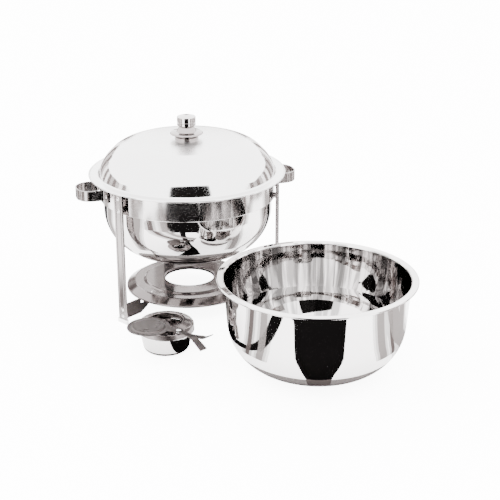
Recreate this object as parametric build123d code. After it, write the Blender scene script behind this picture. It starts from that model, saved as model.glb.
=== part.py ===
"""Round soup kettle on a three-legged stand, with its lid, water pan, food bowl and fuel burner.

Millimetres, +Z up. The origin is the centre of the whole set's footprint on the table top, the two
loop handles lie along X, and the rear leg is on the kettle's +Y side.
"""

import math
import os

from build123d import *

# Where the set stands. Offsets run from the kettle's own axis.
BOWL_OFFSET = (122.5, -329.0)
BURNER_OFFSET = (-92.0, -198.5)
BURNER_TURN = 10.0

# Collar band of the stand
BAND_R = 155.0
BAND_T = 1.2
BAND_Z = (198.0, 236.4)
BAND_HEM_R = 1.3

# Legs
LEG_ANGLES = {"leg_rear": 90.0, "leg_front_left": 210.0, "leg_front_right": 330.0}
LEG_R = 163.5
LEG_WIDTH = 20.0
LEG_DEPTH = 2.8
LEG_T = 1.2
LEG_TOP_Z = 235.8
LEG_BEAD_R = 0.9
LEG_BEAD_OFFSET = 5.6
PAD_SIZE = (6.0, 22.4, 8.0)
PAD_EDGE_R = 1.2
SPACER_R = 5.0
SPACER_Z = (206.0, 228.0)
RIVET_R = 2.0
RIVET_HEAD_R = 3.6
RIVET_HEAD_H = 1.1
RIVET_SEAT = 0.06

# Loop handles
HANDLE_T = 2.0
HANDLE_Z = (209.0, 227.5)
HANDLE_REACH = 198.0
HANDLE_ARM_Y = 28.0
HANDLE_END_R = 24.0
HANDLE_TAB_ANGLE = 13.4
HANDLE_TAB_HALF = 8.0
HANDLE_EDGE_R = 0.7

# Shelf ring near the table
SHELF_T = 1.2
SHELF_Z = 40.0
SHELF_HOLE_R = 44.3
SHELF_HOLE_DROP = 6.0
SHELF_INNER_FLAT_R = 79.0
SHELF_STEP_R = 82.5
SHELF_STEP_DROP = 3.0
SHELF_OUTER_FLAT_R = 99.0
SHELF_R = 113.0
SHELF_EDGE_Z = 28.0
SHELF_LIP = 2.5

# Brackets from the legs to the shelf ring
BRACKET_T = 1.6
BRACKET_Z = (9.0, 31.0)
BRACKET_LOW_Z = 3.0
BRACKET_HEEL_R = 158.0
BRACKET_SHOULDER_R = 116.0
BRACKET_NECK_Z = 21.0
BRACKET_TAB_R = (84.0, 97.0)
BRACKET_TAB_WIDTH = 14.0
BRACKET_FOOT_WIDTH = 13.0
BRACKET_RIVET_Z = (14.0, 26.0)
SHELF_RIVET_R = 90.5

# Water pan
PAN_T = 1.0
PAN_WALL_R = 149.0
PAN_BASE_R = 72.0
PAN_BASE_Z = 89.0
PAN_TURN_Z = 124.0
PAN_RIM_Z = 237.9
PAN_RIM_R = 168.0
PAN_BEAD_R = 1.4

# Lid and knob
LID_T = 1.0
LID_R = 173.0
LID_RIM_Z = 240.3
LID_BEAD_R = 1.5
LID_DOME_R = 155.5
LID_CROWN_Z = 298.0
KNOB_BASE_R = 20.7
KNOB_BASE_Z = (297.9, 306.2)
KNOB_FOOT_H = 5.4
KNOB_FOOT_EDGE_R = 2.2
KNOB_FOOT_NECK_R = 16.0
KNOB_DISC_R = 29.0
KNOB_DISC_Z = (306.2, 312.0)
KNOB_CAP_R = 16.3
KNOB_CAP_Z = (320.5, 340.0)
KNOB_GROOVE_Z = 328.0
KNOB_NECK_R = 12.5
KNOB_SCREW_R = 2.5
KNOB_SCREW_HEAD_R = 5.5
KNOB_WASHER_R = 11.0
KNOB_WASHER_T = 1.2

# Food bowl
BOWL_T = 1.0
BOWL_WALL_R = 147.5
BOWL_BASE_R = 75.0
BOWL_TURN_R = 138.0
BOWL_TURN_Z = 32.0
BOWL_RIM_Z = 153.5
BOWL_RIM_R = 158.6
BOWL_BEAD_R = 1.7

# Fuel burner
CUP_T = 1.0
CUP_BASE_R = 36.5
CUP_BASE_CORNER_R = 9.0
CUP_MOUTH_R = 43.4
CUP_FLANGE_R = 46.8
CUP_FLANGE_Z = 34.0
CAP_T = 1.0
CAP_R = 46.3
CAP_SHOULDER_Z = 46.5
CAP_HOLE_R = 28.0
CAP_TOP_Z = 52.0
PIVOT_R = 51.5
PIVOT_PIN_R = 2.0
PIVOT_HOLE_R = 2.06
PIVOT_EAR_R = 7.0
PIVOT_EAR_Z = (47.6, 49.2)
PIVOT_WASHER_R = 4.6
GAP = 0.35

# Grip fixed under the pivot
GRIP_T = 1.0
GRIP_LENGTH = 64.0
GRIP_NECK_WIDTH = 8.0
GRIP_LEAF_WIDTH = 13.0
GRIP_LEAF_START = 30.0
GRIP_TIP_WIDTH = 4.0
GRIP_STRAIGHT = 47.0
GRIP_BEND = 30.0
GRIP_ANGLE = -53.0

# Snuffer cover, drawn shut over the hole and then swung open
COVER_T = 1.0
COVER_Z = 52.9
COVER_R = 35.0
COVER_PANEL_R = 25.0
COVER_PANEL_RISE = 1.6
COVER_BOSS_R = 7.5
COVER_OPEN_ANGLE = 47.0
LEVER_ANGLE = -121.0
LEVER_LENGTH = 64.0
LEVER_STRAIGHT = 36.0
LEVER_BEND = -28.0
LEVER_NECK_WIDTH = 10.0
LEVER_END_WIDTH = 14.0

# The kettle's axis in the set's frame, from the four outermost edges
FOOTPRINT_X = (-HANDLE_REACH, BOWL_OFFSET[0] + BOWL_RIM_R)
FOOTPRINT_Y = (BOWL_OFFSET[1] - BOWL_RIM_R, LID_R)
KETTLE_AT = Pos(-sum(FOOTPRINT_X) / 2, -sum(FOOTPRINT_Y) / 2, 0)
BOWL_AT = KETTLE_AT * Pos(*BOWL_OFFSET, 0)
BURNER_AT = KETTLE_AT * Pos(*BURNER_OFFSET, 0) * Rot(0, 0, BURNER_TURN)


def side_line(points, shift):
    """The polyline parallel to points, shifted to its left."""
    normals = []
    for (ax, ay), (bx, by) in zip(points, points[1:]):
        length = math.hypot(bx - ax, by - ay)
        normals.append((-(by - ay) / length, (bx - ax) / length))
    joined = [normals[0], *normals, normals[-1]]
    out = []
    for (x, y), (px, py), (qx, qy) in zip(points, joined, joined[1:]):
        scale = shift / (1 + px * qx + py * qy)
        out.append((x + (px + qx) * scale, y + (py + qy) * scale))
    return out


def rounded_line(points, radii):
    """Edges along points, each inner corner rounded to its radius."""
    edges = []
    start = points[0]
    for before, corner, after, radius in zip(points, points[1:], points[2:], radii):
        toward = [Vector(*p) - Vector(*corner) for p in (before, after)]
        toward = [v.normalized() for v in toward]
        half = toward[0].get_angle(toward[1]) / 2
        reach = radius / math.tan(math.radians(half))
        middle = (toward[0] + toward[1]).normalized()
        depth = radius / math.sin(math.radians(half)) - radius
        first, last = [Vector(*corner) + v * reach for v in toward]
        edges.append(Line(start, first))
        edges.append(ThreePointArc(first, Vector(*corner) + middle * depth, last))
        start = last
    edges.append(Line(start, points[-1]))
    return edges


def sheet_section(points, radii, thickness):
    """The face of a bent sheet whose middle line runs along points."""
    turns = []
    for (ax, ay), (bx, by), (cx, cy) in zip(points, points[1:], points[2:]):
        cross = (bx - ax) * (cy - by) - (by - ay) * (cx - bx)
        turns.append(math.copysign(thickness / 2, cross))
    left = side_line(points, thickness / 2)
    right = side_line(points, -thickness / 2)
    edges = rounded_line(left, [r - t for r, t in zip(radii, turns)])
    edges += rounded_line(right, [r + t for r, t in zip(radii, turns)])
    edges += [Line(left[0], right[0]), Line(left[-1], right[-1])]
    return make_face(Curve() + edges)


def spun(section):
    """A section in radius and height, spun about Z."""
    return revolve(Plane.XZ * section, Axis.Z)


def radial_cylinder(radius, inner, outer, angle, z):
    """A round bar from one distance off the axis to another."""
    bar = Cylinder(radius, outer - inner, align=(Align.CENTER, Align.CENTER, Align.MIN))
    return Rot(0, 0, angle) * Pos(inner, 0, z) * Rot(0, 90, 0) * bar


def rivet_head(radius, height):
    """A low domed head standing on Z = 0."""
    curve = (radius**2 + height**2) / (2 * height)
    dome = Pos(0, 0, height - curve) * Sphere(curve)
    return dome & Pos(0, 0, curve) * Box(4 * radius, 4 * radius, 2 * curve)


def radial_rivet(inner, outer, angle, z):
    """A rivet through sheets lying between two distances off the axis."""
    outer_head = Pos(outer, 0, z) * Rot(0, 90, 0) * rivet_head(RIVET_HEAD_R, RIVET_HEAD_H)
    inner_head = Pos(inner, 0, z) * Rot(0, -90, 0) * rivet_head(RIVET_HEAD_R, RIVET_HEAD_H)
    shank = radial_cylinder(RIVET_R, inner, outer, 0, z)
    return Rot(0, 0, angle) * (shank + outer_head + inner_head)


def fastener_bores(z_values, angle, inner, outer):
    """Round cutters for the rivets at one angle."""
    return [radial_cylinder(RIVET_R, inner, outer, angle, z) for z in z_values]


def collar_band():
    """Deep round band with a hem along its lower edge."""
    middle = BAND_R - BAND_T / 2
    low, high = BAND_Z
    strip = sheet_section([(middle, low + BAND_HEM_R), (middle, high)], [], BAND_T)
    hem_x = BAND_R - BAND_HEM_R
    band = spun(strip + Pos(hem_x, low + BAND_HEM_R) * Circle(BAND_HEM_R))
    for angle in LEG_ANGLES.values():
        band -= fastener_bores(SPACER_Z, angle, BAND_R - 5, BAND_R + 5)
    for angle in handle_rivet_angles():
        band -= fastener_bores([sum(HANDLE_Z) / 2], angle, BAND_R - 5, BAND_R + 5)
    return band


def leg():
    """Channel leg standing on the +X side, its open side to the axis."""
    back = LEG_R - LEG_DEPTH
    web = Rectangle(LEG_T, LEG_WIDTH, align=(Align.MAX, Align.CENTER))
    section = Pos(LEG_R, 0) * web
    for side in (-1, 1):
        edge = side * (LEG_WIDTH - LEG_T) / 2
        section += Pos(back, edge) * Rectangle(LEG_DEPTH, LEG_T, align=(Align.MIN, Align.CENTER))
    corners = [v for v in section.vertices() if v.X > LEG_R - 0.1]
    section = fillet(corners, LEG_T - 0.2)
    for side in (-1, 1):
        section += Pos(LEG_R - 0.2, side * LEG_BEAD_OFFSET) * Circle(LEG_BEAD_R)
    bar = Pos(0, 0, PAD_SIZE[2]) * extrude(section, LEG_TOP_Z - PAD_SIZE[2])
    bar -= fastener_bores(SPACER_Z, 0, BAND_R, LEG_R + 5)
    bar -= fastener_bores(BRACKET_RIVET_Z, 0, BAND_R, LEG_R + 5)
    return bar


def foot_pads():
    """Plastic foot under each leg."""
    pads = []
    for angle in LEG_ANGLES.values():
        pad = Box(*PAD_SIZE, align=(Align.CENTER, Align.CENTER, Align.MIN))
        pad = fillet(pad.edges().filter_by(Axis.Z) + pad.edges().group_by(Axis.Z)[0], PAD_EDGE_R)
        pads.append(Rot(0, 0, angle) * Pos(LEG_R - LEG_DEPTH / 2, 0, 0) * pad)
    return pads


def leg_spacers():
    """Turned spacers that hold each leg off the collar band."""
    spacers = []
    for angle in LEG_ANGLES.values():
        for z in SPACER_Z:
            ring = radial_cylinder(SPACER_R, BAND_R - 1, LEG_R - LEG_T, angle, z)
            ring -= radial_cylinder(RIVET_R, BAND_R - 2, LEG_R, angle, z)
            spacers.append(ring - Cylinder(BAND_R, 4 * BAND_Z[1]))
    return spacers


def leg_rivets():
    """Rivets through leg, spacer and band."""
    rivets = []
    for angle in LEG_ANGLES.values():
        for z in SPACER_Z:
            rivets.append(radial_rivet(BAND_R - BAND_T - RIVET_SEAT, LEG_R, angle, z))
    return rivets


def handle_rivet_angles():
    """Directions of the four handle rivets."""
    angles = []
    for side in (0, 180):
        for tilt in (-HANDLE_TAB_ANGLE, HANDLE_TAB_ANGLE):
            angles.append(side + tilt)
    return angles


def handle():
    """Loop of flat strap on the +X side, a riveted tab at each end."""
    turn = math.radians(HANDLE_TAB_ANGLE)
    tab_r = BAND_R + 0.15 + HANDLE_T / 2
    centre = Vector(tab_r * math.cos(turn), tab_r * math.sin(turn))
    along = Vector(-math.sin(turn), math.cos(turn))
    tip = centre + along * HANDLE_TAB_HALF
    root = centre - along * HANDLE_TAB_HALF
    end_x = HANDLE_REACH - HANDLE_T / 2
    half = [(tip.X, tip.Y), (root.X, root.Y), (end_x, HANDLE_ARM_Y)]
    points = half + [(x, -y) for x, y in reversed(half)]
    radii = [4.0, HANDLE_END_R, HANDLE_END_R, 4.0]
    strap = extrude(sheet_section(points, radii, HANDLE_T), HANDLE_Z[1] - HANDLE_Z[0])
    rims = strap.edges().group_by(Axis.Z)[0] + strap.edges().group_by(Axis.Z)[-1]
    strap = Pos(0, 0, HANDLE_Z[0]) * fillet(rims, HANDLE_EDGE_R)
    for angle in (-HANDLE_TAB_ANGLE, HANDLE_TAB_ANGLE):
        strap -= fastener_bores([sum(HANDLE_Z) / 2], angle, BAND_R - 5, BAND_R + 5)
    return strap


def handle_rivets():
    """Rivets through handle tab and band."""
    outer = BAND_R + 0.15 + HANDLE_T
    z = sum(HANDLE_Z) / 2
    inner = BAND_R - BAND_T - RIVET_SEAT
    return [radial_rivet(inner, outer, angle, z) for angle in handle_rivet_angles()]


def shelf_ring():
    """Stamped ring that the burner hangs in."""
    top = SHELF_Z - SHELF_T / 2
    low = top - SHELF_STEP_DROP
    hole = SHELF_HOLE_R + SHELF_T / 2
    points = [
        (hole, SHELF_Z - SHELF_HOLE_DROP),
        (hole, top),
        (SHELF_INNER_FLAT_R, top),
        (SHELF_STEP_R, low),
        (SHELF_OUTER_FLAT_R, low),
        (SHELF_R, SHELF_EDGE_Z),
        (SHELF_R, SHELF_EDGE_Z - SHELF_LIP),
    ]
    ring = spun(sheet_section(points, [1.6, 2.5, 2.5, 4.0, 1.6], SHELF_T))
    for angle in LEG_ANGLES.values():
        bore = Cylinder(RIVET_R, 4 * SHELF_T)
        ring -= Rot(0, 0, angle) * Pos(SHELF_RIVET_R, 0, low) * bore
    return ring


def shelf_brackets():
    """Upright plates from the legs to the underside of the shelf ring."""
    foot_r = LEG_R - LEG_T
    tab_top = SHELF_Z - SHELF_T - SHELF_STEP_DROP
    low, high = BRACKET_Z
    tab_in, tab_out = BRACKET_TAB_R
    outline = [
        (foot_r, low),
        (foot_r, high),
        (BRACKET_SHOULDER_R, high),
        (BRACKET_SHOULDER_R, BRACKET_NECK_Z),
        (SHELF_R - 4, BRACKET_NECK_Z),
        (tab_out, tab_top - 3),
        (tab_out, tab_top),
        (tab_in, tab_top),
        (tab_in, tab_top - 5),
        (tab_out + 3, BRACKET_LOW_Z + 9),
        (BRACKET_SHOULDER_R, BRACKET_LOW_Z),
        (BRACKET_HEEL_R, BRACKET_LOW_Z),
        (BRACKET_HEEL_R, low),
    ]
    brackets = []
    for angle in LEG_ANGLES.values():
        plate = Plane.XZ * make_face(Polyline(*outline, close=True))
        body = Pos(0, BRACKET_T - BRACKET_FOOT_WIDTH / 2, 0) * extrude(plate, BRACKET_T)
        foot = Box(BRACKET_T, BRACKET_FOOT_WIDTH, high - low, align=(Align.MAX, Align.CENTER, Align.MIN))
        body += Pos(foot_r, 0, low) * foot
        tab = Box(tab_out - tab_in, BRACKET_TAB_WIDTH, BRACKET_T, align=(Align.MIN, Align.CENTER, Align.MAX))
        body += Pos(tab_in, 0, tab_top) * tab
        body -= [radial_cylinder(RIVET_R, foot_r - 6, foot_r + 2, 0, z) for z in BRACKET_RIVET_Z]
        body -= Pos(SHELF_RIVET_R, 0, tab_top) * Cylinder(RIVET_R, 16)
        brackets.append(Rot(0, 0, angle) * body)
    return brackets


def bracket_rivets():
    """Rivets through leg and bracket foot."""
    rivets = []
    for angle in LEG_ANGLES.values():
        for z in BRACKET_RIVET_Z:
            rivets.append(radial_rivet(LEG_R - LEG_T - BRACKET_T, LEG_R, angle, z))
    return rivets


def shelf_rivets():
    """Rivets through shelf ring and bracket tab."""
    top = SHELF_Z - SHELF_STEP_DROP
    bottom = top - SHELF_T - BRACKET_T
    rivets = []
    for angle in LEG_ANGLES.values():
        shank = Cylinder(RIVET_R, top - bottom, align=(Align.CENTER, Align.CENTER, Align.MIN))
        rivet = Pos(0, 0, bottom) * shank
        rivet += Pos(0, 0, top) * rivet_head(RIVET_HEAD_R, RIVET_HEAD_H)
        rivet += Pos(0, 0, bottom) * Rot(180, 0, 0) * rivet_head(RIVET_HEAD_R, RIVET_HEAD_H)
        rivets.append(Rot(0, 0, angle) * Pos(SHELF_RIVET_R, 0, 0) * rivet)
    return rivets


def water_pan():
    """Round-bottomed pan that hangs in the collar band by its flange."""
    wall = PAN_WALL_R - PAN_T / 2
    base = PAN_BASE_Z + PAN_T / 2
    rim = PAN_RIM_Z - PAN_T / 2
    bead = PAN_RIM_R - PAN_BEAD_R
    points = [(0, base), (PAN_BASE_R, base), (wall, PAN_TURN_Z), (wall, rim), (bead, rim)]
    section = sheet_section(points, [12.0, 84.0, 3.0], PAN_T)
    return spun(section + Pos(bead, rim) * Circle(PAN_BEAD_R))


def lid_shell():
    """Domed lid with a flat flange and a rolled edge."""
    rim = LID_RIM_Z - LID_T / 2
    crown = LID_CROWN_Z - LID_T / 2
    bead = LID_R - LID_BEAD_R
    points = [
        (0, crown),
        (56, crown),
        (116, crown - 3.6),
        (147, crown - 36),
        (LID_DOME_R, rim),
        (bead, rim),
    ]
    section = sheet_section(points, [1050.0, 60.0, 60.0, 3.0], LID_T)
    shell = spun(section + Pos(bead, rim) * Circle(LID_BEAD_R))
    return shell - Pos(0, 0, crown) * Cylinder(KNOB_SCREW_R, 4 * LID_T)


def knob_base():
    """Round foot of the knob on the lid's crown, with a neck up to the disc."""
    low, high = KNOB_BASE_Z
    foot = Cylinder(KNOB_BASE_R, KNOB_FOOT_H, align=(Align.CENTER, Align.CENTER, Align.MIN))
    foot = fillet(foot.edges().group_by(Axis.Z)[-1], KNOB_FOOT_EDGE_R)
    foot += Cylinder(KNOB_FOOT_NECK_R, high - low, align=(Align.CENTER, Align.CENTER, Align.MIN))
    foot = Pos(0, 0, low) * foot
    return foot - Pos(0, 0, low) * Cylinder(KNOB_SCREW_R, 4 * (high - low)) - lid_shell()


def knob_disc():
    """Wide disc that keeps the fingers off the hot lid."""
    low, high = KNOB_DISC_Z
    outline = [
        (KNOB_SCREW_R, low),
        (KNOB_BASE_R - 3, low),
        (KNOB_DISC_R - 1, low + 1.2),
        (KNOB_DISC_R, low + 2.4),
        (KNOB_DISC_R - 1.6, high - 1.4),
        (KNOB_NECK_R + 5, high),
        (KNOB_NECK_R, KNOB_CAP_Z[0]),
        (KNOB_SCREW_R, KNOB_CAP_Z[0]),
    ]
    section = make_face(Polyline(*outline, close=True))
    rim = [v for v in section.vertices() if v.X > KNOB_DISC_R - 2]
    return spun(fillet(rim, 0.8))


def knob_cap():
    """Turned grip of the knob with a blind screw hole."""
    low, high = KNOB_CAP_Z
    outline = [
        (0, low),
        (KNOB_CAP_R - 2.5, low),
        (KNOB_CAP_R, low + 3),
        (KNOB_CAP_R, KNOB_GROOVE_Z - 0.9),
        (KNOB_CAP_R - 1.2, KNOB_GROOVE_Z),
        (KNOB_CAP_R, KNOB_GROOVE_Z + 0.9),
        (KNOB_CAP_R, high - 1.6),
        (0, high),
    ]
    section = make_face(Polyline(*outline, close=True))
    rim = [v for v in section.vertices() if v.X > KNOB_CAP_R - 0.1 and v.Y > high - 2]
    grip = spun(fillet(rim, 1.4))
    return grip - Pos(0, 0, low) * Cylinder(KNOB_SCREW_R, 24)


def knob_washer():
    """Washer under the knob screw, inside the lid."""
    top = LID_CROWN_Z - LID_T
    ring = Cylinder(KNOB_WASHER_R, KNOB_WASHER_T, align=(Align.CENTER, Align.CENTER, Align.MAX))
    ring -= Cylinder(KNOB_SCREW_R, 4 * KNOB_WASHER_T)
    return Pos(0, 0, top) * ring


def knob_screw():
    """Screw up through lid and knob, with a slotted head."""
    seat = LID_CROWN_Z - LID_T - KNOB_WASHER_T
    length = KNOB_CAP_Z[0] + 11 - seat
    shank = Cylinder(KNOB_SCREW_R, length, align=(Align.CENTER, Align.CENTER, Align.MIN))
    head = Rot(180, 0, 0) * rivet_head(KNOB_SCREW_HEAD_R, 3.0)
    head -= Pos(0, 0, -3) * Box(20, 1.2, 2.4)
    return Pos(0, 0, seat) * (shank + head)


def food_bowl():
    """Deep serving bowl with a flat rim and a rolled edge."""
    base = BOWL_T / 2
    rim = BOWL_RIM_Z - BOWL_T / 2
    wall = BOWL_WALL_R - BOWL_T / 2
    bead = BOWL_RIM_R - BOWL_BEAD_R
    points = [(0, base), (BOWL_BASE_R, base), (BOWL_TURN_R, BOWL_TURN_Z), (wall, rim), (bead, rim)]
    section = sheet_section(points, [12.0, 80.0, 2.5], BOWL_T)
    return spun(section + Pos(bead, rim - BOWL_BEAD_R + BOWL_T / 2) * Circle(BOWL_BEAD_R))


def burner_cup():
    """Tapered fuel cup with a flange that hangs on the shelf ring."""
    base = CUP_T / 2
    rim = CUP_FLANGE_Z + CUP_T / 2
    points = [(0, base), (CUP_BASE_R, base), (CUP_MOUTH_R - CUP_T / 2, rim), (CUP_FLANGE_R, rim)]
    return spun(sheet_section(points, [CUP_BASE_CORNER_R, 1.5], CUP_T))


def burner_cap():
    """Pressed cap with a round hole and an ear for the pivot."""
    wall = CAP_R - CAP_T / 2
    lip = CAP_HOLE_R + CAP_T / 2
    top = CAP_TOP_Z - CAP_T / 2
    points = [
        (wall, CUP_FLANGE_Z + CUP_T),
        (wall, CAP_SHOULDER_Z),
        (lip + 3, top),
        (lip, top),
        (lip, top - 4),
    ]
    cap = spun(sheet_section(points, [5.0, 3.0, 1.4], CAP_T))
    low, high = PIVOT_EAR_Z
    reach = Box(2 * PIVOT_EAR_R, PIVOT_R - 36, high - low, align=(Align.CENTER, Align.MIN, Align.MIN))
    ear = Cylinder(PIVOT_EAR_R, high - low, align=(Align.CENTER, Align.CENTER, Align.MIN)) + reach
    return cap + Pos(0, -PIVOT_R, low) * (ear - Cylinder(PIVOT_PIN_R, 12))


def pivot_stack():
    """Heights of the grip, the washers and the rivet head along the pivot."""
    grip_low = PIVOT_EAR_Z[1]
    cover_high = COVER_Z + COVER_T
    return grip_low, grip_low + GRIP_T, COVER_Z - GAP, cover_high + GAP


def burner_grip():
    """Leaf-shaped grip held under the pivot, its tip turned up."""
    low = pivot_stack()[0]
    lift = math.radians(GRIP_BEND)
    rest = GRIP_LENGTH - GRIP_STRAIGHT
    end = (GRIP_STRAIGHT + rest * math.cos(lift), GRIP_T / 2 + rest * math.sin(lift))
    line = [(-PIVOT_EAR_R, GRIP_T / 2), (GRIP_STRAIGHT, GRIP_T / 2), end]
    strip = extrude(Plane.XZ * sheet_section(line, [14.0], GRIP_T), GRIP_LEAF_WIDTH, both=True)
    leaf_middle = (GRIP_LEAF_START + GRIP_STRAIGHT) / 2
    half = [
        (-PIVOT_EAR_R, GRIP_NECK_WIDTH / 2),
        (GRIP_LEAF_START, GRIP_NECK_WIDTH / 2),
        (leaf_middle + 4, GRIP_LEAF_WIDTH / 2),
        (end[0], GRIP_TIP_WIDTH / 2),
    ]
    plan = make_face(Polyline(*half, *[(x, -y) for x, y in reversed(half)], close=True))
    leaf = [v for v in plan.vertices() if leaf_middle - 10 < v.X < end[0] - 1]
    plan = fillet(leaf, 5.0)
    grip = strip & Pos(0, 0, -GRIP_LENGTH) * extrude(plan, 2 * GRIP_LENGTH)
    grip -= Cylinder(PIVOT_PIN_R, 8)
    return Pos(0, -PIVOT_R, low) * Rot(0, 0, GRIP_ANGLE) * grip


def pivot_rivet():
    """Rivet that the snuffer cover turns on."""
    low = PIVOT_EAR_Z[0]
    high = pivot_stack()[3]
    shank = Cylinder(PIVOT_PIN_R, high - low, align=(Align.CENTER, Align.CENTER, Align.MIN))
    rivet = Pos(0, 0, low) * shank
    rivet += Pos(0, 0, high) * rivet_head(4.2, 1.5)
    rivet += Pos(0, 0, low) * Rot(180, 0, 0) * rivet_head(3.2, 0.9)
    return Pos(0, -PIVOT_R, 0) * rivet


def pivot_washer():
    """Spacer between the grip and the snuffer cover."""
    low, high = pivot_stack()[1:3]
    ring = Cylinder(PIVOT_WASHER_R, high - low, align=(Align.CENTER, Align.CENTER, Align.MIN))
    ring -= Cylinder(PIVOT_PIN_R, 20)
    return Pos(0, -PIVOT_R, low) * ring


def cover_disc():
    """Round cover with a raised middle, centred on the origin."""
    flat = COVER_T / 2
    rise = flat + COVER_PANEL_RISE
    points = [(0, rise), (COVER_PANEL_R, rise), (COVER_PANEL_R + 3, flat), (COVER_R, flat)]
    return spun(sheet_section(points, [3.0, 3.0], COVER_T))


def cover_lever():
    """Flat lever along +X from the pivot, its broad square end bent down."""
    droop = math.radians(LEVER_BEND)
    rest = LEVER_LENGTH - LEVER_STRAIGHT
    end = (LEVER_STRAIGHT + rest * math.cos(droop), COVER_T / 2 + rest * math.sin(droop))
    line = [(0, COVER_T / 2), (LEVER_STRAIGHT, COVER_T / 2), end]
    strip = extrude(Plane.XZ * sheet_section(line, [18.0], COVER_T), LEVER_END_WIDTH, both=True)
    half = [(0, LEVER_NECK_WIDTH / 2), (LEVER_STRAIGHT / 2, LEVER_NECK_WIDTH / 2), (end[0], LEVER_END_WIDTH / 2)]
    plan = make_face(Polyline(*half, *[(x, -y) for x, y in reversed(half)], close=True))
    plan = fillet([v for v in plan.vertices() if v.X > end[0] - 1], 1.0)
    return strip & Pos(0, 0, -LEVER_LENGTH) * extrude(plan, 2 * LEVER_LENGTH)


def snuffer_cover():
    """Cover, arm and lever in one sheet, swung open about the pivot."""
    arm_start = COVER_R - 4
    arm = Pos(0, PIVOT_R - arm_start) * Circle(COVER_BOSS_R)
    arm = make_hull(arm.edges() + Circle(COVER_BOSS_R).edges())
    plate = extrude(arm, COVER_T) + Pos(0, PIVOT_R, 0) * cover_disc()
    plate += Rot(0, 0, LEVER_ANGLE) * cover_lever()
    plate -= Cylinder(PIVOT_HOLE_R, 4 * COVER_T)
    return Pos(0, -PIVOT_R, COVER_Z) * Rot(0, 0, COVER_OPEN_ANGLE) * plate


def write(node, shape, place):
    """Puts a node's solids in the set's frame and writes its file."""
    pieces = shape if isinstance(shape, list) else [shape]
    solids = []
    for piece in pieces:
        solids += (place * piece).solids()
    export_step(Compound(children=solids) if len(solids) > 1 else solids[0], f"parts/{node}.step")


def main():
    """Builds every piece of the set and writes it."""
    os.makedirs("parts", exist_ok=True)
    for node, angle in LEG_ANGLES.items():
        write(node, Rot(0, 0, angle) * leg(), KETTLE_AT)
    loop = handle()
    write("handle_right", loop, KETTLE_AT)
    write("handle_left", Rot(0, 0, 180) * loop, KETTLE_AT)
    for make in (
        collar_band,
        handle_rivets,
        leg_spacers,
        leg_rivets,
        foot_pads,
        shelf_ring,
        shelf_brackets,
        shelf_rivets,
        bracket_rivets,
        water_pan,
        lid_shell,
        knob_base,
        knob_disc,
        knob_cap,
        knob_washer,
        knob_screw,
    ):
        write(make.__name__, make(), KETTLE_AT)
    write("food_bowl", food_bowl(), BOWL_AT)
    for make in (burner_cup, burner_cap, burner_grip, pivot_rivet, pivot_washer, snuffer_cover):
        write(make.__name__, make(), BURNER_AT)


main()
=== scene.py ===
"""The soup kettle's looks: polished steel, plastic feet, and a white studio with one dark opening."""

import math

import bpy
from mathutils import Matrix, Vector


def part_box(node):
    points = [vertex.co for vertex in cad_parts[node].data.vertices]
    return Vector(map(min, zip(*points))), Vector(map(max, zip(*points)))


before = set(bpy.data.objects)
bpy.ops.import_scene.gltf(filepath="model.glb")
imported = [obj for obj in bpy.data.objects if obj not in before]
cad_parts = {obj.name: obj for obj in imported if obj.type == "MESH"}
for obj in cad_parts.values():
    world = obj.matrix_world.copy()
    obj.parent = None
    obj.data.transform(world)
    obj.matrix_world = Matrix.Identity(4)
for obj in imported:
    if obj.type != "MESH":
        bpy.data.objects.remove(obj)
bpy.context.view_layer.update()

# Camera, seen from the kettle's axis on the table
CAMERA_TURN = math.radians(17.5)
CAMERA_SIDE = 0.1104
CAMERA_BACK = 1.9298
CAMERA_HEIGHT = 0.8413
CAMERA_TILT = math.radians(21.28)
CAMERA_LENS_MM = 82.4
SENSOR_MM = 36.0

# Colours of the steel pieces, matched to the photograph under this studio's light
LID_STEEL = (0.74, 0.73, 0.728)
PAN_STEEL = (0.64, 0.618, 0.612)
BOWL_STEEL = (0.70, 0.677, 0.672)
BAND_STEEL = (0.60, 0.58, 0.575)
# Painted shade: the shelf ring, legs, handles and brackets are darkened far below the steel's own
# colour, for the shade in and under the stand
SHELF_PAINTED_SHADE = (0.125, 0.111, 0.109)
LEG_PAINTED_SHADE = (0.22, 0.201, 0.198)
HANDLE_PAINTED_SHADE = (0.30, 0.279, 0.275)
BRACKET_PAINTED_SHADE = (0.24, 0.219, 0.215)
KNOB_STEEL = (0.50, 0.475, 0.47)
# Painted shade: the knob's base and disc are darkened well below the cap's steel, for the shade under
# the cap and the disc
KNOB_FOOT_PAINTED_SHADE = (0.26, 0.235, 0.23)
CUP_STEEL = (0.62, 0.60, 0.595)
# Painted shade: the burner cap and the snuffer cover are darkened far below the steel's own colour, for
# the shade under the pan
CAP_PAINTED_SHADE = (0.16, 0.142, 0.139)
COVER_PAINTED_SHADE = (0.066, 0.057, 0.055)

# Rivets and plastic feet: clean, dirty and worn colour of each
RIVET_COLORS = ((0.66, 0.65, 0.64, 1), (0.45, 0.43, 0.42, 1), (0.78, 0.77, 0.77, 1))
FOOT_COLORS = ((0.60, 0.59, 0.58, 1), (0.50, 0.48, 0.47, 1), (0.72, 0.71, 0.70, 1))

# Spinning marks in the sheet: distance between them on large pieces and on the knob, and their depth
RING_PITCH = 0.0022
KNOB_RING_PITCH = 0.0012
RING_DEPTH = 1.2e-6

# Grain of rolled strip: how fine it is along x, y and z
UPRIGHT_GRAIN = (40, 40, 4)
HANDLE_GRAIN = (40, 4, 40)
BRACKET_GRAIN = (4, 4, 40)
COVER_GRAIN = (6, 40, 40)
GRAIN_SCALE = 50

# Hairline scratches: how fine they are along x, y and z
SCRATCH_SCALE = (900, 900, 60)

# Depth in metres of scratches, grain, marks on the rivets and the plastic's spark texture
SCRATCH_DEPTH = 1.5e-6
GRAIN_DEPTH = 2.0e-6
RIVET_DEPTH = 3.0e-5
SPARK_DEPTH = 1.2e-5

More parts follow.
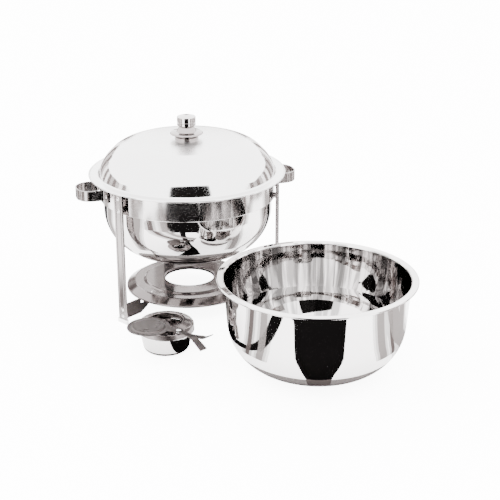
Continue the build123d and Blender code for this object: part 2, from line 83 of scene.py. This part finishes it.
# Inside the deep-drawn bowl: noise scale and depth of the upright waves, then noise scale, tone,
# crookedness and threshold of the upright dark streaks, which are a painted reflection
FLUTE_SCALE = 5.0
FLUTE_DEPTH = 7.0e-4
PAINTED_REFLECTION_SCALE = 6.0
PAINTED_REFLECTION_TONE = 0.36
PAINTED_REFLECTION_LEAN = 0.6
PAINTED_REFLECTION_EDGE = (0.47, 0.56)

# Where a wall counts fully as the inside, and where not at all: -1 faces the axis, 1 faces away
INSIDE_FACING = (-0.6, -0.1)

# Pointiness at which an edge starts to count as worn, and counts as fully worn
WORN_EDGE = (0.56, 0.66)

# Satin crown of the lid, fading out to polish: radii and how much rougher
CROWN_SATIN_R = (0.085, 0.125)
CROWN_SATIN = 0.22

# Studio: floor and walls with their glow, white room, key lamp, and how far cards lie above the floor
FLOOR_SIZE = 80.0
BACKDROP_HEIGHT = 40.0
FLOOR_COLOR = (0.93, 0.93, 0.93)
FLOOR_GLOW = 8.0
MIRROR_FLOOR_GLOW = 1.6
ROOM_STRENGTH = 7.0
KEY_POWER = 30.0
KEY_SIZE = 1.6
KEY_PLACE = (-1.1, -1.0)
KEY_HEIGHT = 2.2
MATT_ROUGHNESS = 0.9
CARD_LIFT = 0.0005

# Tones of the cards and cloths
DARK = (0.002, 0.0018, 0.0018)
BROWN = (0.066, 0.056, 0.054)
GREY = (0.18, 0.167, 0.163)
PALE = (0.42, 0.405, 0.40)

# The tent's dark opening round the camera: side and distance of its two edges, and its slope
SLOT_LEFT = (-0.84, 2.31)
SLOT_RIGHT = (0.45, 0.76)
SLOT_SLOPE = math.tan(math.radians(38))

# Dark floor in the opening, its strips that run up to the bowl and to the kettle, and its brown edge,
# as corners to the side of the kettle's axis and in front of it
SLOT_FLOOR = ((-0.24, 0.60), (0.376, 0.60), (0.45, 0.76), (-0.84, 2.31), (-0.32, 0.76))
BOWL_STRIP = (
    (0.190, 0.402),
    (0.240, 0.402),
    (0.248, 0.42),
    (0.376, 0.60),
    (0.060, 0.60),
    (0.180, 0.42),
)
BOWL_STRIP_FOOT = ((0.198, 0.375), (0.234, 0.375), (0.240, 0.402), (0.190, 0.402))
KETTLE_STRIP = (
    (-0.03, 0.14),
    (0.05, 0.14),
    (0.048, 0.20),
    (0.030, 0.27),
    (0.008, 0.42),
    (-0.005, 0.60),
    (-0.085, 0.60),
    (-0.032, 0.42),
    (-0.006, 0.27),
    (0.004, 0.20),
)
SLOT_EDGE = ((-0.36, 0.60), (-0.24, 0.60), (-0.32, 0.76), (-0.48, 0.76))

# Shaded floor under the stand and round the foot of the bowl and the burner: radius of each, and its
# height in parts of CARD_LIFT
STAND_SHADE = (0.140, 0.8)
BOWL_SHADE = (0.092, 0.9)
BOWL_EDGE_SHADE = (0.125, 0.7)
BURNER_SHADE = (0.042, 0.9)
SHADE_SIDES = 48

# Strips of shaded floor fanning out from the bowl and the kettle: where they start and end, how many
# layers soften their sides, how many degrees wider and how much lower each layer is, then the
# direction, half-width and tone of each strip, in degrees
FAN_REACH = (0.17, 0.75)
FAN_LAYERS = 3
FAN_WIDEN = 3
FAN_LOWER = 0.1
BOWL_FAN = ((66, 5, GREY), (82, 3, BROWN), (104, 6, GREY), (-58, 4, GREY), (-74, 3, BROWN))
KETTLE_FAN = (
    (118, 6, GREY),
    (134, 6, DARK),
    (-118, 6, GREY),
    (-134, 6, DARK),
    (62, 5, GREY),
    (-62, 5, GREY),
)

# Low cloth skirt behind and beside the set: its distance, height, first and last direction, the
# width of a fold in degrees, and the folds' tones in turn
SKIRT_REACH = 0.75
SKIRT_HEIGHT = 0.40
SKIRT_FROM = -130
SKIRT_TO = 130
SKIRT_FOLD = 6
SKIRT_TONES = (BROWN, GREY, BROWN, PALE, BROWN, PALE, GREY)


def middle(node):
    """Centre of a node's box."""
    low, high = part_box(node)
    return (low + high) / 2


KETTLE = middle("lid_shell")
BOWL = middle("food_bowl")
BURNER = middle("burner_cup")


def turned(side, away):
    """A point beside and beyond the kettle's axis as the camera sees it, on the table."""
    cos, sin = math.cos(CAMERA_TURN), math.sin(CAMERA_TURN)
    return Vector((KETTLE.x + side * cos + away * sin, KETTLE.y - side * sin + away * cos, 0.0))


def add_camera():
    """Camera at the photograph's angle."""
    camera = bpy.data.objects.new("camera", bpy.data.cameras.new("camera"))
    bpy.context.scene.collection.objects.link(camera)
    camera.location = turned(CAMERA_SIDE, -CAMERA_BACK) + Vector((0, 0, CAMERA_HEIGHT))
    camera.rotation_euler = (math.radians(90) - CAMERA_TILT, 0, -CAMERA_TURN)
    camera.data.lens = CAMERA_LENS_MM
    camera.data.sensor_width = SENSOR_MM
    bpy.context.scene.camera = camera


# A mix node's sockets for colours, by place because their names repeat: factor, first and second
MIX_INPUTS = (0, 6, 7)
MIX_OUTPUT = 2


class Shading:
    """A material's node tree, with short calls for the nodes used here."""

    def __init__(self, name):
        self.material = bpy.data.materials.new(name)
        self.material.use_nodes = True
        self.tree = self.material.node_tree
        self.shader = self.tree.nodes["Principled BSDF"]

    def node(self, kind, inputs=None, **settings):
        """Adds a node; an input is a value or another node's output."""
        made = self.tree.nodes.new(kind)
        for key, value in settings.items():
            setattr(made, key, value)
        for key, value in (inputs or {}).items():
            self.feed(made.inputs[key], value)
        return made

    def feed(self, socket, value):
        """Links an output to a socket, or sets the socket's value."""
        if isinstance(value, bpy.types.NodeSocket):
            self.tree.links.new(value, socket)
        else:
            socket.default_value = value

    def place(self, axis):
        """Object coordinates measured from an upright axis."""
        coords = self.node("ShaderNodeTexCoord").outputs["Object"]
        shift = {"Vector": coords, "Location": (-axis.x, -axis.y, 0)}
        return self.node("ShaderNodeMapping", shift).outputs["Vector"]

    def scaled(self, vector, scale):
        """A vector stretched along each axis."""
        return self.node("ShaderNodeMapping", {"Vector": vector, "Scale": scale}).outputs["Vector"]

    def noise(self, vector, scale, detail=2.0, distortion=0.0):
        """Soft noise from 0 to 1."""
        inputs = {"Vector": vector, "Scale": scale, "Detail": detail, "Distortion": distortion}
        return self.node("ShaderNodeTexNoise", inputs).outputs["Fac"]

    def reach(self, vector):
        """Distance from the axis."""
        flat = self.scaled(vector, (1, 1, 0))
        return self.node("ShaderNodeVectorMath", {0: flat}, operation="LENGTH").outputs["Value"]

    def rings(self, vector, pitch):
        """Noise that changes only with the distance from the axis, about once in each pitch."""
        inputs = {"W": self.reach(vector), "Scale": 1 / pitch, "Detail": 3.0}
        return self.node("ShaderNodeTexNoise", inputs, noise_dimensions="1D").outputs["Fac"]

    def between(self, factor, low, high, start=0.0, end=1.0):
        """Maps a factor onto a range."""
        inputs = {"Value": factor, "From Min": start, "From Max": end, "To Min": low, "To Max": high}
        return self.node("ShaderNodeMapRange", inputs).outputs["Result"]

    def maths(self, operation, first, second):
        """One sum of two values."""
        return self.node("ShaderNodeMath", {0: first, 1: second}, operation=operation).outputs["Value"]

    def inside(self, vector):
        """Direction from the axis, and 1 on a wall that faces the axis."""
        flat = self.scaled(vector, (1, 1, 0))
        outward = self.node("ShaderNodeVectorMath", {0: flat}, operation="NORMALIZE").outputs["Vector"]
        facing = self.node("ShaderNodeNewGeometry").outputs["True Normal"]
        inputs = {0: facing, 1: outward}
        turned_in = self.node("ShaderNodeVectorMath", inputs, operation="DOT_PRODUCT").outputs["Value"]
        return outward, self.between(turned_in, 1.0, 0.0, *INSIDE_FACING)

    def flutes(self, vector):
        """Upright waves on the side of a wall that faces the axis, and none elsewhere."""
        outward, inner = self.inside(vector)
        return self.maths("MULTIPLY", self.noise(outward, FLUTE_SCALE, detail=1.0), inner)

    def streaks(self, vector):
        """Upright dark streaks on the same side, a little crooked: a painted reflection."""
        outward, inner = self.inside(vector)
        lean = self.scaled(vector, (1, 1, PAINTED_REFLECTION_LEAN))
        crooked = self.node("ShaderNodeVectorMath", {0: outward, 1: lean})
        wave = self.noise(crooked.outputs["Vector"], PAINTED_REFLECTION_SCALE, detail=3.0, distortion=0.3)
        return self.maths("MULTIPLY", self.between(wave, 0.0, 1.0, *PAINTED_REFLECTION_EDGE), inner)

    def blend(self, factor, first, second):
        """A colour between two."""
        made = self.node("ShaderNodeMix", data_type="RGBA")
        for socket, value in zip(MIX_INPUTS, (factor, first, second)):
            self.feed(made.inputs[socket], value)
        return made.outputs[MIX_OUTPUT]

    def bump(self, height, depth, under=None):
        """Raises the surface by a height of so many metres."""
        inputs = {"Height": height, "Distance": depth}
        if under is not None:
            inputs["Normal"] = under
        return self.node("ShaderNodeBump", inputs).outputs["Normal"]

    def edges(self):
        """Near 1 along outer edges, where handling brightens the metal."""
        sharp = self.node("ShaderNodeNewGeometry").outputs["Pointiness"]
        return self.between(sharp, 0.0, 1.0, *WORN_EDGE)


def tinted(color, factor):
    """A colour made lighter or darker, with full opacity."""
    return (*(min(1.0, part * factor) for part in color), 1.0)


def polished_steel(name, axis, color, rough, wave, pitch=RING_PITCH, flute=0.0, satin=0.0):
    """Mirror-polished sheet with spinning marks, slight waves, smears and hairline scratches."""
    mat = Shading(name)
    here = mat.place(axis)
    smear = mat.noise(here, scale=16.0, detail=4.0, distortion=0.6)
    spots = mat.noise(here, scale=210.0, detail=2.0)
    ring = mat.rings(here, pitch)
    scratch = mat.noise(mat.scaled(here, SCRATCH_SCALE), scale=1.0, detail=3.0, distortion=1.5)
    hairline = mat.between(scratch, 0.0, 1.0, start=0.66, end=0.72)
    worn = mat.edges()

    clean = mat.blend(smear, tinted(color, 0.965), tinted(color, 1.02))
    tone = mat.blend(mat.between(ring, 0.0, 0.35), clean, tinted(color, 0.93))
    # Painted reflection: dark upright streaks on the bowl's inner wall
    if flute:
        tone = mat.blend(mat.streaks(here), tone, tinted(color, PAINTED_REFLECTION_TONE))
    mat.feed(mat.shader.inputs["Base Color"], mat.blend(worn, tone, tinted(color, 1.08)))

    low, high = rough
    dulled = mat.between(smear, low, high, start=0.35, end=0.72)
    dulled = mat.maths("ADD", dulled, mat.between(spots, 0.0, 0.02, start=0.5, end=0.8))
    dulled = mat.maths("ADD", dulled, mat.between(hairline, 0.0, 0.05))
    if satin:
        dulled = mat.maths("ADD", dulled, mat.between(mat.reach(here), satin, 0.0, *CROWN_SATIN_R))
    dulled = mat.maths("ADD", dulled, mat.between(worn, 0.0, 0.04))
    mat.feed(mat.shader.inputs["Roughness"], dulled)

    normal = mat.bump(mat.noise(here, scale=15.0, detail=1.0, distortion=0.4), wave)
    if flute:
        normal = mat.bump(mat.flutes(here), flute, normal)
    normal = mat.bump(ring, RING_DEPTH, normal)
    mat.feed(mat.shader.inputs["Normal"], mat.bump(hairline, SCRATCH_DEPTH, normal))
    mat.shader.inputs["Metallic"].default_value = 1.0
    return mat.material


def drawn_steel(name, axis, color, rough, grain, wave=2.0e-5):
    """Rolled strip with a faint grain along its length."""
    mat = Shading(name)
    here = mat.place(axis)
    smear = mat.noise(here, scale=26.0, detail=4.0, distortion=0.5)
    fine = mat.scaled(here, tuple(GRAIN_SCALE * part for part in grain))
    lines = mat.noise(fine, scale=1.0, detail=4.0)
    worn = mat.edges()

    streak = mat.between(lines, 0.0, 1.0, start=0.3, end=0.7)
    tone = mat.blend(streak, tinted(color, 0.93), tinted(color, 1.02))
    mat.feed(mat.shader.inputs["Base Color"], mat.blend(worn, tone, tinted(color, 1.12)))

    low, high = rough
    base = mat.between(smear, low, high, start=0.3, end=0.75)
    mat.feed(mat.shader.inputs["Roughness"], mat.maths("ADD", base, mat.between(lines, 0.0, 0.05)))

    normal = mat.bump(mat.noise(here, scale=22.0, detail=1.0), wave)
    mat.feed(mat.shader.inputs["Normal"], mat.bump(lines, GRAIN_DEPTH, normal))
    mat.shader.inputs["Metallic"].default_value = 1.0
    return mat.material


def rivet_steel(name, axis):
    """Plain peened rivets, a little duller than the sheet."""
    mat = Shading(name)
    here = mat.place(axis)
    mark = mat.noise(here, scale=480.0, detail=3.0, distortion=0.8)
    grime = mat.between(mat.noise(here, scale=90.0, detail=2.0), 0.0, 1.0, start=0.35, end=0.7)
    clean, dirty, worn = RIVET_COLORS
    tone = mat.blend(grime, clean, dirty)
    mat.feed(mat.shader.inputs["Base Color"], mat.blend(mat.edges(), tone, worn))
    mat.feed(mat.shader.inputs["Roughness"], mat.between(mark, 0.16, 0.38, start=0.3, end=0.7))
    mat.feed(mat.shader.inputs["Normal"], mat.bump(mark, RIVET_DEPTH))
    mat.shader.inputs["Metallic"].default_value = 1.0
    return mat.material


def foot_plastic(name, axis):
    """Moulded plastic with a fine spark texture and scuffed edges."""
    mat = Shading(name)
    here = mat.place(axis)
    spark = mat.noise(here, scale=1900.0, detail=2.0)
    scuff = mat.noise(here, scale=120.0, detail=4.0, distortion=0.4)
    clean, dirty, worn = FOOT_COLORS
    tone = mat.blend(mat.between(scuff, 0.0, 1.0, start=0.4, end=0.7), clean, dirty)
    mat.feed(mat.shader.inputs["Base Color"], mat.blend(mat.edges(), tone, worn))
    mat.feed(mat.shader.inputs["Roughness"], mat.between(scuff, 0.42, 0.62))
    mat.feed(mat.shader.inputs["Normal"], mat.bump(spark, SPARK_DEPTH))
    return mat.material


def wear(look, *nodes):
    """Puts one material on each of these CAD nodes."""
    for node in nodes:
        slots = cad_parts[node].data.materials
        slots.clear()
        slots.append(look)


def dress_kettle():
    """Materials of the lid, pan and stand: colour, range of roughness, then depth of waves or grain."""
    lid = polished_steel("lid_steel", KETTLE, LID_STEEL, (0.05, 0.10), 6.0e-5, satin=CROWN_SATIN)
    wear(lid, "lid_shell")
    wear(polished_steel("pan_steel", KETTLE, PAN_STEEL, (0.03, 0.07), 8.0e-5), "water_pan")
    wear(polished_steel("band_steel", KETTLE, BAND_STEEL, (0.08, 0.13), 5.0e-5), "collar_band")
    # Shelf, legs, handles and brackets: colours darkened as painted shade
    wear(polished_steel("shelf_painted_shade_steel", KETTLE, SHELF_PAINTED_SHADE, (0.08, 0.16), 8.0e-5), "shelf_ring")
    leg = drawn_steel("leg_painted_shade_steel", KETTLE, LEG_PAINTED_SHADE, (0.10, 0.20), UPRIGHT_GRAIN)
    wear(leg, "leg_rear", "leg_front_left", "leg_front_right", "leg_spacers")
    handle = drawn_steel("handle_steel", KETTLE, HANDLE_PAINTED_SHADE, (0.05, 0.12), HANDLE_GRAIN)
    wear(handle, "handle_left", "handle_right")
    bracket = drawn_steel("bracket_painted_shade_steel", KETTLE, BRACKET_PAINTED_SHADE, (0.14, 0.26), BRACKET_GRAIN)
    wear(bracket, "shelf_brackets")
    knob = {"wave": 1.0e-5, "pitch": KNOB_RING_PITCH}
    wear(polished_steel("knob_steel", KETTLE, KNOB_STEEL, (0.04, 0.09), **knob), "knob_cap")
    # Knob base and disc: a darker colour as painted shade
    foot = polished_steel("knob_foot_painted_shade_steel", KETTLE, KNOB_FOOT_PAINTED_SHADE, (0.05, 0.10), **knob)
    wear(foot, "knob_base", "knob_disc")
    wear(foot_plastic("feet", KETTLE), "foot_pads")


def dress_bowl_and_burner():
    """Materials of the loose food bowl and the burner, given in the same way."""
    bowl = polished_steel("bowl_steel", BOWL, BOWL_STEEL, (0.02, 0.06), 1.6e-4, flute=FLUTE_DEPTH)
    wear(bowl, "food_bowl")
    wear(polished_steel("cup_steel", BURNER, CUP_STEEL, (0.03, 0.08), 4.0e-5), "burner_cup")
    # Burner cap and snuffer cover: colours darkened as painted shade
    wear(polished_steel("cap_painted_shade_steel", BURNER, CAP_PAINTED_SHADE, (0.14, 0.24), 5.0e-5), "burner_cap")
    cover = drawn_steel("cover_steel", BURNER, COVER_PAINTED_SHADE, (0.22, 0.36), COVER_GRAIN, 6.0e-5)
    wear(cover, "snuffer_cover", "burner_grip")


def dress_fasteners():
    """One material for every rivet, screw and washer."""
    wear(
        rivet_steel("rivets", KETTLE),
        "handle_rivets",
        "leg_rivets",
        "bracket_rivets",
        "shelf_rivets",
        "pivot_rivet",
        "pivot_washer",
        "knob_screw",
        "knob_washer",
    )


def matte(name, color, glow=0.0):
    """Plain matt material of the studio, which may give light of its own."""
    mat = Shading(name)
    mat.shader.inputs["Base Color"].default_value = (*color, 1)
    mat.shader.inputs["Roughness"].default_value = MATT_ROUGHNESS
    mat.shader.inputs["Specular IOR Level"].default_value = 0.0
    mat.shader.inputs["Emission Color"].default_value = (1, 1, 1, 1)
    mat.shader.inputs["Emission Strength"].default_value = glow
    return mat.material


def add_sheet(name, corners, material):
    """One flat face of the studio."""
    mesh = bpy.data.meshes.new(name)
    mesh.from_pydata(corners, [], [range(len(corners))])
    mesh.materials.append(material)
    sheet = bpy.data.objects.new(name, mesh)
    bpy.context.scene.collection.objects.link(sheet)
    return sheet


def add_card(name, corners, material):
    """A face that only mirrors can see."""
    card = add_sheet(name, corners, material)
    card.visible_camera = False
    card.visible_diffuse = False
    card.visible_shadow = False
    card.visible_transmission = False


def add_floor():
    """Pale floor that glows to the eye, and a less bright copy of it for the mirrors."""
    half = FLOOR_SIZE / 2
    corners = [(-half, -half, 0), (half, -half, 0), (half, half, 0), (-half, half, 0)]
    floor = add_sheet("floor", corners, matte("floor", FLOOR_COLOR, FLOOR_GLOW))
    floor.visible_glossy = False
    raised = [Vector(corner) + Vector((0, 0, CARD_LIFT / 2)) for corner in corners]
    add_card("floor_in_mirrors", raised, matte("floor_in_mirrors", FLOOR_COLOR, MIRROR_FLOOR_GLOW))


def add_backdrop():
    """White walls beyond the floor, there only for the eye."""
    half = FLOOR_SIZE / 2
    white = matte("backdrop", FLOOR_COLOR, FLOOR_GLOW)
    corners = [(-half, -half), (half, -half), (half, half), (-half, half)]
    for index, (near, far) in enumerate(zip(corners, corners[1:] + corners[:1])):
        wall = add_sheet(
            f"backdrop_{index}",
            [(*near, 0), (*far, 0), (*far, BACKDROP_HEIGHT), (*near, BACKDROP_HEIGHT)],
            white,
        )
        wall.visible_glossy = False
        wall.visible_diffuse = False
        wall.visible_shadow = False


def fan_corners(centre, aim, spread, height):
    """Corners of a strip of floor that starts beside a round piece and runs away from it."""
    near, far = FAN_REACH
    corners = []
    for turn, reach in ((-spread, near), (spread, near), (spread, far), (-spread, far)):
        angle = math.radians(aim + turn)
        step = turned(reach * math.sin(angle), -reach * math.cos(angle)) - turned(0, 0)
        corners.append((centre.x + step.x, centre.y + step.y, height))
    return corners


def add_fans():
    """Strips of shaded floor with soft sides, seen as upright bands on the bowl and the pan."""
    for name, centre, fan in (("bowl", BOWL, BOWL_FAN), ("kettle", KETTLE, KETTLE_FAN)):
        for index, (aim, half, tone) in enumerate(fan):
            for layer in range(FAN_LAYERS):
                label = f"{name}_fan_{index}_{layer}"
                paler = [part + (1 - part) * layer / FAN_LAYERS for part in tone]
                height = CARD_LIFT * (1 - FAN_LOWER * layer)
                corners = fan_corners(centre, aim, half + layer * FAN_WIDEN, height)
                add_card(label, corners, matte(label, paler))


def add_opening():
    """The tent's dark opening, and the dark floor that shows under it."""
    dark = matte("opening", DARK)
    edges = []
    for side, distance in (SLOT_LEFT, SLOT_RIGHT):
        foot = turned(side, -distance) + Vector((0, 0, CARD_LIFT))
        edges.append((foot, foot + Vector((0, 0, KETTLE.z + SLOT_SLOPE * distance))))
    (left, left_top), (right, right_top) = edges
    add_card("opening", [left, right, right_top, left_top], dark)
    brown = matte("opening_edge", BROWN)
    strips = (
        ("floor", SLOT_FLOOR, dark),
        ("bowl", BOWL_STRIP, dark),
        ("bowl_foot", BOWL_STRIP_FOOT, brown),
        ("kettle", KETTLE_STRIP, dark),
        ("edge", SLOT_EDGE, brown),
    )
    for name, outline, look in strips:
        corners = [turned(side, -distance) + Vector((0, 0, CARD_LIFT)) for side, distance in outline]
        add_card(f"opening_{name}", corners, look)


def add_shades():
    """Round shaded patches of floor, seen as darker undersides in the steel."""
    patches = (
        (KETTLE, STAND_SHADE, GREY),
        (BOWL, BOWL_SHADE, BROWN),
        (BOWL, BOWL_EDGE_SHADE, GREY),
        (BURNER, BURNER_SHADE, BROWN),
    )
    for index, (centre, (radius, layer), tone) in enumerate(patches):
        corners = []
        for step in range(SHADE_SIDES):
            angle = 2 * math.pi * step / SHADE_SIDES
            side = radius * math.cos(angle)
            corners.append((centre.x + side, centre.y + radius * math.sin(angle), layer * CARD_LIFT))
        add_card(f"shade_{index}", corners, matte(f"shade_{index}", tone))


def add_skirt():
    """Low folded cloth behind and beside the set, seen as brown and grey bands in the steel."""
    cloths = [matte(f"cloth_{index}", tone) for index, tone in enumerate(SKIRT_TONES)]
    for index, aim in enumerate(range(SKIRT_FROM, SKIRT_TO, SKIRT_FOLD)):
        feet = []
        for turn in (0, SKIRT_FOLD):
            angle = math.radians(aim + turn)
            feet.append(turned(SKIRT_REACH * math.sin(angle), SKIRT_REACH * math.cos(angle)))
        tops = [foot + Vector((0, 0, SKIRT_HEIGHT)) for foot in reversed(feet)]
        add_card(f"cloth_{index}", feet + tops, cloths[index % len(cloths)])


def add_light():
    """White room and one large soft lamp over the left shoulder."""
    world = bpy.data.worlds.new("studio")
    world.use_nodes = True
    room = world.node_tree.nodes["Background"]
    room.inputs["Color"].default_value = (1.0, 1.0, 1.0, 1)
    room.inputs["Strength"].default_value = ROOM_STRENGTH
    bpy.context.scene.world = world
    lamp = bpy.data.lights.new("key", "AREA")
    lamp.energy = KEY_POWER
    lamp.size = KEY_SIZE
    key = bpy.data.objects.new("key", lamp)
    bpy.context.scene.collection.objects.link(key)
    key.location = turned(*KEY_PLACE) + Vector((0, 0, KEY_HEIGHT))
    key.rotation_euler = (KETTLE - key.location).to_track_quat("-Z", "Y").to_euler()
    key.visible_glossy = False


add_camera()
dress_kettle()
dress_bowl_and_burner()
dress_fasteners()
add_floor()
add_backdrop()
add_opening()
add_fans()
add_shades()
add_skirt()
add_light()
